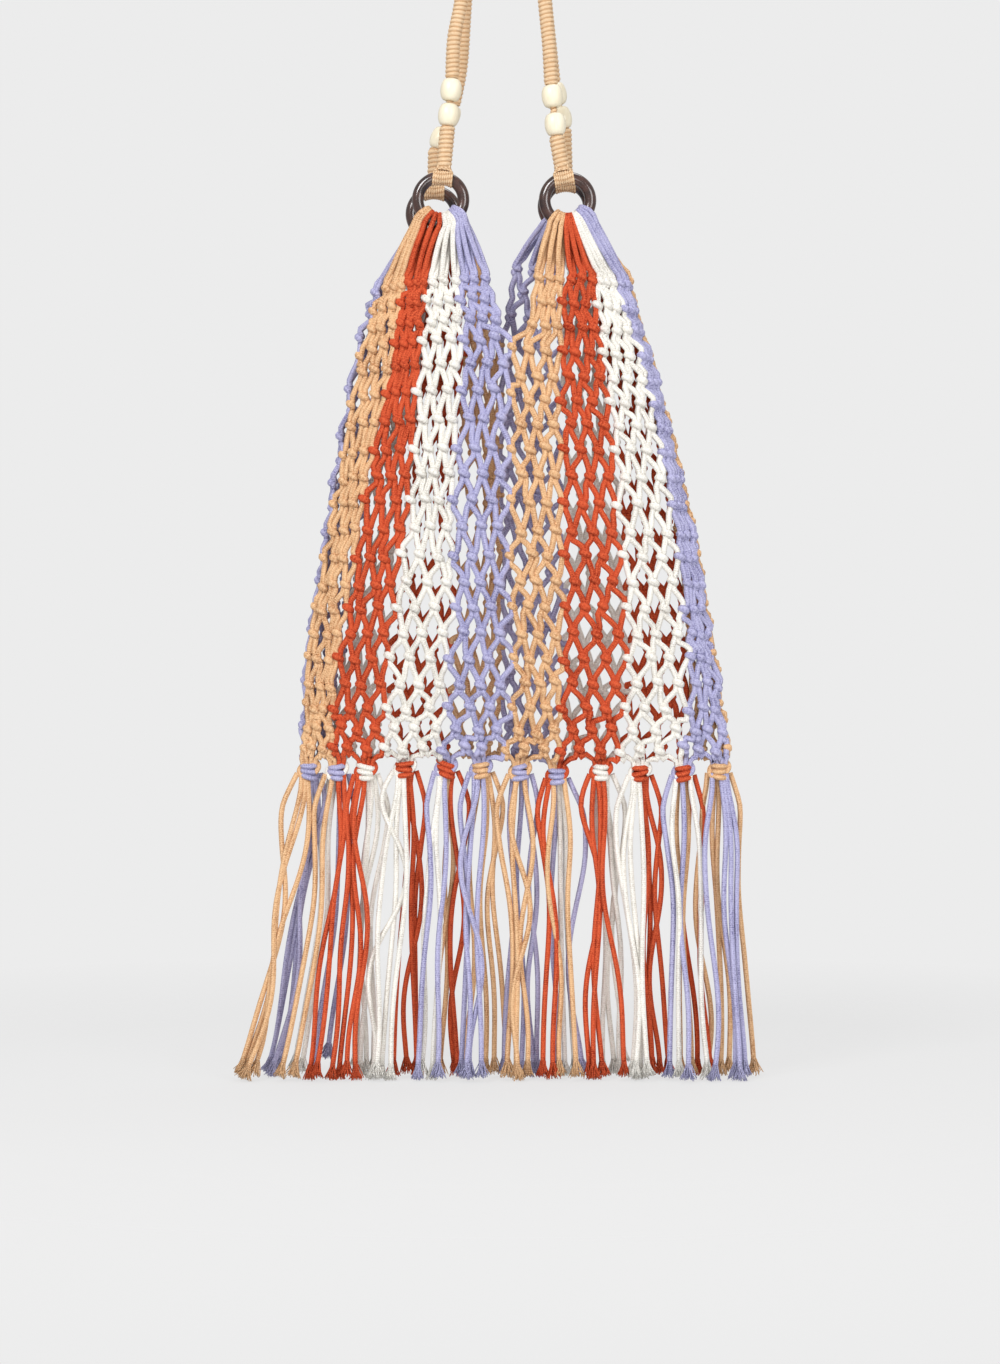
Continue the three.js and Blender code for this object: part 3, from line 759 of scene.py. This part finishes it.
# Sideways a strand goes from its place under the knot to its place at the floor. It bows
# outwards below the knot, the outermost ones more, and sways. Three tassels turn left below.
START_SPREAD = 0.0015  # distance between two strands where they leave the knot
STRAY = 0.0017  # how far an end typically lies from its place
CROSSING, CROSS_WAY, CROSS_WITHIN = 0.1, 0.009, 0.13  # share of ends that cross, how far, where
BOW, BOW_AT, BOW_TALL = 0.0017, 0.2, 0.17  # for each place off the tassel's middle
BELLY, BELLY_AT, BELLY_TALL = 0.0042, 0.1, 0.09  # for the outermost strands
SWAY, PHASES, PACE, PACE_MORE = 0.005, 6.3, 1.2, 1.5  # size, start and number of half waves
WAY_POWER, SWAY_POWER, FLICK_POWER = 1.25, 0.8, 8  # of the share of the way down
FLICK = np.zeros(TASSELS)
FLICK[[0, 1, -1]] = [-0.004, -0.002, -0.002]


def bell(middle, tall):
    """A smooth hump round a share of the way down."""
    return np.exp(-(((fall - middle) / tall) ** 2))


fall = np.linspace(0, 1, STATIONS)[None, :]
cell = (FRINGE_LEFT + FRINGE_RIGHT) / (TASSELS - 1)
outermost = np.abs(slot) > 3
start_x = heads[tassel_of, :1] + slot * START_SPREAD
end_x = -FRINGE_LEFT + tassel_of[:, None] * cell + slot * SPREAD + hang.normal(0, STRAY, (STRANDS, 1))
crosses = hang.random((STRANDS, 1)) < CROSSING
jump = hang.choice([-1, 1], (STRANDS, 1)) * CROSS_WAY
end_x += crosses * np.where(np.abs(end_x) < CROSS_WITHIN, jump, 0)
bow = slot * BOW * bell(BOW_AT, BOW_TALL)
belly = np.where(outermost, np.sign(slot) * BELLY, 0) * bell(BELLY_AT, BELLY_TALL)
phase = hang.random((STRANDS, 1)) * PHASES
pace = PACE + PACE_MORE * hang.random((STRANDS, 1))
wave = np.sin(fall * np.pi * pace + phase) * np.sin(np.pi * fall**SWAY_POWER)
sway = hang.normal(0, SWAY, (STRANDS, 1)) * wave
flick = FLICK[tassel_of][:, None] * fall**FLICK_POWER
fringe_x = start_x + (end_x - start_x) * fall**WAY_POWER + bow + belly + sway + flick

# In depth the front and rear strands draw apart downwards. Each is cut just above the floor,
# and a few of them shorter.
DEPTH_TOP, DEPTH_LEAST, DEPTH_MORE = 0.0024, 0.003, 0.012  # at the knot, and added by the floor
DEPTH_SWAY, DEPTH_WAVES = 0.0016, 5  # the latter in radians over the whole way
CUT, CUT_SPREAD = BRUSH - 0.0022, 0.0035  # height of the lowest ends, and how much higher others end
SHORT_FROM, SHORTER = 0.94, 0.2  # a random number above which a strand is short, and how steeply
INTO_KNOT = 0.005  # how far a strand reaches up into its knot
deepening = DEPTH_LEAST + DEPTH_MORE * hang.random((STRANDS, 1))
layer = strand_face[:, None] * (DEPTH_TOP + deepening * fall)
fringe_y = layer + hang.normal(0, DEPTH_SWAY, (STRANDS, 1)) * np.sin(fall * DEPTH_WAVES)
chance = hang.random((STRANDS, 1))
shorter = np.where(chance > SHORT_FROM, (chance - SHORT_FROM) * SHORTER, chance * CUT_SPREAD)
fringe_top = heads[tassel_of, 2:] - HEAD_TALL + INTO_KNOT
fringe_z = fringe_top + (FLOOR + CUT + shorter - fringe_top) * fall
fringe_paths = smoothed(np.stack([fringe_x, fringe_y, fringe_z], -1), 2)

# Brushes: fine yarns that start inside each cut end, spread from it and curl a little
YARNS = 40
YARN_RADIUS = 0.00044 * np.array([1.0, 1.0, 1.0, 0.95, 0.6])
YARN_INSIDE = 0.002  # how far above the cut end a yarn starts
YARN_FLOOR = 0.0006  # lowest height of its middle line above the floor
BUNDLE = 0.42  # how far off the middle the outer yarns lie, in cord thicknesses
FLARE, FLARE_LEAST = 0.005, 0.55  # how much farther out they end, and the least share of it
YARN_LEAST = 0.78  # the shortest yarn, as a share of the longest
CURL_FROM, CURL_TO, CURL_ROUND = 0.9, 2.4, 0.7  # powers of the opening, and turn round the end
yarn_share = np.linspace(0, 1, 5)
yarn_angle = hang.random((STRANDS, YARNS)) * 2 * np.pi
yarn_place = np.sqrt(hang.random((STRANDS, YARNS)))
flare = (FLARE_LEAST + (1 - FLARE_LEAST) * hang.random((STRANDS, 1))) * FLARE
yarn_long = BRUSH * (YARN_LEAST + (1 - YARN_LEAST) * hang.random((STRANDS, YARNS)))
curl = np.random.default_rng(31)
opening = yarn_share ** curl.uniform(CURL_FROM, CURL_TO, (STRANDS, YARNS, 1))
yarn_angle = yarn_angle[..., None] + curl.normal(0, CURL_ROUND, (STRANDS, YARNS, 1)) * yarn_share
yarn_out = (yarn_place * CORD * BUNDLE)[..., None] + (flare * yarn_place)[..., None] * opening
tip = fringe_paths[:, -1]
heading = unit(fringe_paths[:, -1] - fringe_paths[:, -3])
across_tip = unit(np.cross(heading, REARWARD))
beside_tip = np.cross(heading, across_tip)
yarns = (
    tip[:, None, None]
    + heading[:, None, None] * (yarn_long[..., None] * yarn_share - YARN_INSIDE)[..., None]
    + across_tip[:, None, None] * (yarn_out * np.cos(yarn_angle))[..., None]
    + beside_tip[:, None, None] * (yarn_out * np.sin(yarn_angle))[..., None]
)
yarns[..., 2] = np.maximum(yarns[..., 2], FLOOR + YARN_FLOOR)

# Square knots: three turns round the strands, one below another and slightly aslant, and a
# loop at each side, the right one a little higher
TURNS, TURN_PITCH, TURN_RADIUS = 3, 0.0038, 0.0019
TURN_WIDE, TURN_DEEP, WIDE_SPREAD = 0.0047, 0.0052, 0.0004  # half widths of a turn's middle line
TURN_TOP, TURN_REAR = -0.0045, 0.0006  # height of the first turn, and how much higher it is behind
SLANT, SHARED_SLANT = 0.12, 0.1
CORD_PER_RADIAN = 0.006
LOOP_RADIUS, LOOP_OUT, LOOP_BULGE = 0.0018, 0.0042, 0.0026
LOOP_TALL, LOOP_FRONT, LOOP_DEEP = 0.0044, -0.0012, 0.002
LOOP_HEIGHTS = np.array([-0.0052, -0.0086])[:, None]
bend = circle(24)
loop_bend = np.linspace(-1, 1, 11)
loop_x = np.array([1.0, -1.0])[:, None] * (LOOP_OUT + LOOP_BULGE * (1 - loop_bend**2))
loop_y = LOOP_FRONT - LOOP_DEEP * loop_bend
loop_z = LOOP_HEIGHTS - loop_bend * LOOP_TALL
loops = np.stack(np.broadcast_arrays(loop_x, loop_y, loop_z), -1)
for number in range(TASSELS):
    tassel = Soup()
    members = np.flatnonzero(tassel_of == number)
    for colour in np.unique(strand_colour[members]):
        same = members[strand_colour[members] == colour]
        tassel.tubes(fringe_paths[same], STRAND_RADIUS, 8, colour)
        tassel.tubes(yarns[same].reshape(-1, len(yarn_share), 3), YARN_RADIUS, 3, colour)
    slant = hang.normal(0, SLANT, TURNS) + hang.normal(0, SHARED_SLANT)
    wide = TURN_WIDE + hang.normal(0, WIDE_SPREAD, TURNS)
    for turn in range(TURNS):
        turn_x = wide[turn] * np.cos(bend)
        turn_y = TURN_DEEP * np.sin(bend)
        turn_z = TURN_TOP - turn * TURN_PITCH + slant[turn] * turn_x + TURN_REAR * np.sin(bend)
        turn_path = heads[number] + np.stack([turn_x, turn_y, turn_z], -1)
        tangent = unit(np.roll(turn_path, -1, 0) - np.roll(turn_path, 1, 0))
        up = unit(UP - tangent * tangent[:, 2:])
        section = TURN_RADIUS * spokes(np.cross(up, tangent), up, 8)
        rings = (turn_path[:, None] + section)[None]
        tassel.grid(rings, bend[None] * CORD_PER_RADIAN, wrap_colour[number], closed=True)
    tassel.tubes(heads[number] + loops, LOOP_RADIUS, 8, loop_colour[number])
    name = f"tassel_{number + 1:02d}"
    tassel.piece("fringe_" + name, PAINT_ORDER, [name], "cord_" + WRAP_COLOURS[number])


# Rings
# Four polished rings of dark horn-brown wood, round in section, that carry the cords.
def ring_paint():
    """Dark brown with lighter streaks, polished."""
    paint = Paint("polished_ring", Coat_Weight=0.7, Coat_Roughness=0.06, Specular_IOR_Level=0.6)
    place = paint.place()
    streak = paint.noise(place, 130, 4)
    colour = paint.mixed((streak * 2.2 - 0.8).limited(), linear(38, 22, 20), linear(92, 58, 48))
    return paint.finish(colour, paint.noise(place, 700, 2), 0.00006, streak * 0.12 + 0.16)


ring_material = ring_paint()
ring_turn, wire_turn = circle(96), circle(20)
spoke = np.stack([np.cos(ring_turn), 0 * ring_turn, np.sin(ring_turn)], -1)[:, None]
reach = (RING_RADIUS + RING_WIRE * np.cos(wire_turn))[:, None]
rearward = RING_WIRE * np.sin(wire_turn)[:, None] * REARWARD
for q, quarter_name in enumerate(QUARTER_NAMES):
    ring = Soup()
    ring.grid((RINGS[q] + spoke * reach + rearward)[None], ring_turn[None] * RING_RADIUS, closed=True)
    ring.piece("polished_ring_" + quarter_name, [ring_material], ["ring_" + quarter_name], "ring_dark")


# Handle ends
# The rope's core cords are folded over the ring's top as a flat strap, tied just above it and
# wound with thread. From there the bare core runs up through the two beads.
LEAN = np.radians([5.4, 9.8, 1.5, 1.5])  # towards the middle, below the beads
BEAD_LEAN = np.radians([5.4, 6, 12, 21])  # the same along the beads
WRAP_LENGTH = np.array([0.029, 0.0227, 0.031, 0.0212])
BARE = np.array([0.0016, 0.0039, 0.0016, 0.0016])  # core that shows between the beads
WRAP_RADIUS, CORE_RADIUS = 0.0055, 0.0026
WOUND_PITCH, THREAD = 0.0031, 0.0007  # from ridge to ridge, and from thread to thread
BEAD_LONG = 0.0158
WRAP_START = 0.0223  # from the ring's centre
wrap_end = WRAP_START + WRAP_LENGTH
bead_foot = wrap_end + GAP + WRAP_RADIUS * np.tan(np.abs(BEAD_LEAN - LEAN))
bead_starts = np.stack([bead_foot, bead_foot + BEAD_LONG + BARE])
grip_start = bead_starts[1] + BEAD_LONG + GAP / 2
TIE_RADIUS, TIE_TURNS, TIE_TALL = 0.0008, 2.4, 0.0016
TIE_WIDE, TIE_DEEP = 0.005, 0.0042  # half widths of the tie's middle line
STRAP_CORDS, STRAP_WIDE, STRAP_CINCHED = 9, 0.0124, 0.0078  # across the band's outer cords
STRAP_CORD = 0.00084  # radius of one
STRAP_INTO, STRAP_DEEP = 0.003, 0.0026  # its way into the winding, and off the rope's middle
STRAP_ANGLES = np.radians([20, 55, 90, 130, 180, 230, 270, 305, 340])  # round the ring's wire


def upwards(q, lean):
    """The upward direction of a handle leg that leans in by an angle."""
    return np.array([-SIDE[q] * np.sin(lean), 0, np.cos(lean)])


def leg(q, distances):
    """Points of a handle leg at distances from its ring's centre: one slant up to the end of
    the wound stretch, another along the beads."""
    distances = np.asarray(distances)[:, None]
    below = np.minimum(distances, wrap_end[q]) * upwards(q, LEAN[q])
    return RINGS[q] + below + np.maximum(distances - wrap_end[q], 0) * upwards(q, BEAD_LEAN[q])


def wrap_paint():
    """Tan cotton thread wound closely: fine twisted threads across the turns, with painted shade in the
    grooves between them.
    """
    paint = Paint("wound_thread", Roughness=0.85, Specular_IOR_Level=0.25)
    u, v, _ = paint.axes(paint.place("UV"))
    place = paint.place()
    thread = (v * (2 * np.pi / THREAD) + u * (2 * np.pi)).sine() * 0.5 + 0.5
    # painted shade mask: highest in the grooves between the wound turns, where the shape's ridges fall away
    groove_shade = ((v * (1 / WOUND_PITCH) - u) * (2 * np.pi)).math("COSINE") * 0.5 + 0.5
    fibre = paint.noise(place, 1500, 3)
    dye = paint.noise(place, 90, 2)
    tone = (thread * 0.2 + fibre * 1.4 + dye * 0.5 - 0.5).limited()
    colour = paint.mixed(tone, linear(219, 180, 137), linear(245, 219, 184))
    # painted shade: the grooves between the turns are darkened towards a deep brown
    colour = paint.mixed(groove_shade.power(2.5) * 0.75, colour, linear(186, 137, 92))
    return paint.finish(colour, thread * 0.5 + fibre * 0.5, 0.0004)


wrap_material = wrap_paint()


RIDGE, RIDGE_BLUNT = 0.0009, 0.7  # height of a turn over the groove, and power of its half sine
END_LONG, END_THIN = 0.0012, 0.8  # a rope's end narrows over this length to this share


def wound(path, radius, stations_per_turn, sides, soup):
    """A rope wound with thread: its radius rises and falls as a power of a half sine along it,
    whose phase turns once round the rope from ridge to ridge. Both ends narrow."""
    along = travelled(path[None])[0]
    count = int(along[-1] / WOUND_PITCH * stations_per_turn) + 1
    even = np.linspace(0, 1, count) * along[-1]
    centre, across, up = (
        np.stack([np.interp(even, along, column) for column in values.T], -1)
        for values in (path, *(side[0] for side in carried_frames(path[None])))
    )
    phase = even[:, None] / WOUND_PITCH - circle(sides) / (2 * np.pi)
    ridge = np.abs(np.sin(np.pi * phase)) ** RIDGE_BLUNT
    taper = np.clip(np.minimum(even, even[-1] - even) / END_LONG, 0, 1)[:, None] ** 0.5
    swell = (radius - RIDGE + RIDGE * ridge) * (END_THIN + (1 - END_THIN) * taper)
    rings = centre[:, None] + swell[..., None] * spokes(unit(across), unit(up), sides)
    soup.grid(rings[None], even[None])


for q, quarter_name in enumerate(QUARTER_NAMES):
    end = Soup()
    leg_up = upwards(q, LEAN[q])
    sidewards = np.cross(leg_up, REARWARD)
    share_out = np.linspace(-0.5, 0.5, STRAP_CORDS)[:, None, None]
    out = share_out * STRAP_WIDE
    rise = np.sqrt(RING_RADIUS**2 - out**2) + (RING_WIRE + STRAP_CORD) * np.cos(STRAP_ANGLES)[:, None]
    strap = RINGS[q] + out * sidewards + rise * leg_up
    strap[..., 1] -= (RING_WIRE + STRAP_CORD) * np.sin(STRAP_ANGLES)
    cinched = share_out * STRAP_CINCHED * sidewards
    into = leg(q, [WRAP_START + STRAP_INTO, WRAP_START])[None] + cinched
    front, back = into - STRAP_DEEP * REARWARD, into[:, ::-1] + STRAP_DEEP * REARWARD
    end.tubes(smoothed(np.concatenate([front, strap, back], 1), 3), STRAP_CORD, 8)
    tie_turn = np.linspace(0, 2 * np.pi * TIE_TURNS, 48)
    tie = (
        leg(q, WRAP_START - TIE_TALL + TIE_TALL * tie_turn / tie_turn[-1])
        + TIE_WIDE * np.cos(tie_turn)[:, None] * sidewards
        + TIE_DEEP * np.sin(tie_turn)[:, None] * REARWARD
    )
    end.tubes(tie[None], TIE_RADIUS, 6)
    wound(leg(q, np.linspace(WRAP_START, bead_foot[q] - GAP, 24)), WRAP_RADIUS, 8, 20, end)
    wound(leg(q, np.linspace(wrap_end[q], grip_start[q] - GAP / 2, 24)), CORE_RADIUS, 8, 12, end)
    end.piece("wound_end_" + quarter_name, [wrap_material], ["handle_end_" + quarter_name], "handle_wrap")


# Beads
# Two cream wooden beads above each ring, turned and drilled, threaded on the rope's core.
BEAD_RADIUS = 0.0074
BORE, RIM = 0.0029, 0.0006  # radius of the hole, and width of the flat face round it
BARREL = 2.1  # power of the height that rounds a bead; 2 is an ellipse


def bead_paint():
    """Cream lacquered wood with faint grain along the bore."""
    paint = Paint("cream_bead", Coat_Weight=0.25, Coat_Roughness=0.2, Specular_IOR_Level=0.4)
    place = paint.place()
    stretched = paint.node("Mapping", 0, {"Vector": place, "Scale": (1.0, 1.0, 0.15)})
    grain = paint.noise(stretched, 900, 3)
    cloud = paint.noise(place, 80, 2)
    tone = (grain * 0.5 + cloud * 0.6 - 0.05).limited()
    colour = paint.mixed(tone, linear(226, 212, 178), linear(250, 244, 226))
    return paint.finish(colour, grain, 0.00008, grain * 0.15 + 0.35)


bead_material = bead_paint()
bead_rise = np.linspace(-1, 1, 17)
bead_girth = BORE + RIM + (BEAD_RADIUS - BORE - RIM) * (1 - np.abs(bead_rise) ** BARREL) ** 0.5
profile_radius = np.concatenate([[BORE], bead_girth, [BORE]])
profile_rise = np.concatenate([[-1], bead_rise, [1]])
for q, quarter_name in enumerate(QUARTER_NAMES):
    round_leg = spokes(np.cross(REARWARD, upwards(q, BEAD_LEAN[q])), REARWARD, 32)
    for height_name, start in zip(("lower", "upper"), bead_starts[:, q]):
        axis_points = leg(q, start + BEAD_LONG / 2 * (1 + profile_rise))
        bead = Soup()
        rings = axis_points[:, None] + profile_radius[:, None, None] * round_leg
        bead.grid(rings[None], profile_rise[None] * BEAD_LONG / 2, closed=True)
        name = f"bead_{quarter_name}_{height_name}"
        bead.piece("turned_" + name, [bead_material], [name], "bead_wood")


# Grips
# Two rope handles wound closely with tan thread from bead to bead. They bend over whatever
# carries the bag, above the photo's upper edge.
GRIP_RADIUS, PEG_RADIUS = 0.005, 0.012
SHOULDER = 0.157  # from the bend's centre down to where the legs' distance apart is given
LEG_OUT = np.array([0.03, 0.0274, 0.0285, 0.028])  # from the centre line at that height
BEND_LENGTH = 0.027  # over which the beads' slant eases off by half
DRAWN_IN = 0.3  # share of its way in depth that a leg has made at the shoulder
OVER = np.radians([160, 125, 90, 55, 20])  # round what carries the bag, from the left


def grip_leg(q, besides):
    """Three points of a leg above the beads: its start, a thread's length on, and the shoulder."""
    start = leg(q, [grip_start[q]])[0]
    on = start + BEND_LENGTH * upwards(q, BEAD_LEAN[q] / 2)
    inwards = start[1] + (besides - start[1]) * DRAWN_IN
    return np.array([start, on, (SIDE[q] * LEG_OUT[q], inwards, -PEG_RADIUS - SHOULDER)])


for name, left, right in (("grip_front", 0, 1), ("grip_back", 3, 2)):
    besides = FACE[left] * (GRIP_RADIUS + GAP)
    bend_radius = PEG_RADIUS + GRIP_RADIUS
    over_z = -PEG_RADIUS + bend_radius * np.sin(OVER)
    over = np.stack([bend_radius * np.cos(OVER), np.full(len(OVER), besides), over_z], -1)
    route = np.concatenate([grip_leg(left, besides), over, grip_leg(right, besides)[::-1]])
    grip = Soup()
    wound(smoothed(route[None], 24)[0], GRIP_RADIUS, 7, 18, grip)
    grip.piece("wound_" + name, [wrap_material], [name], "handle_wrap")
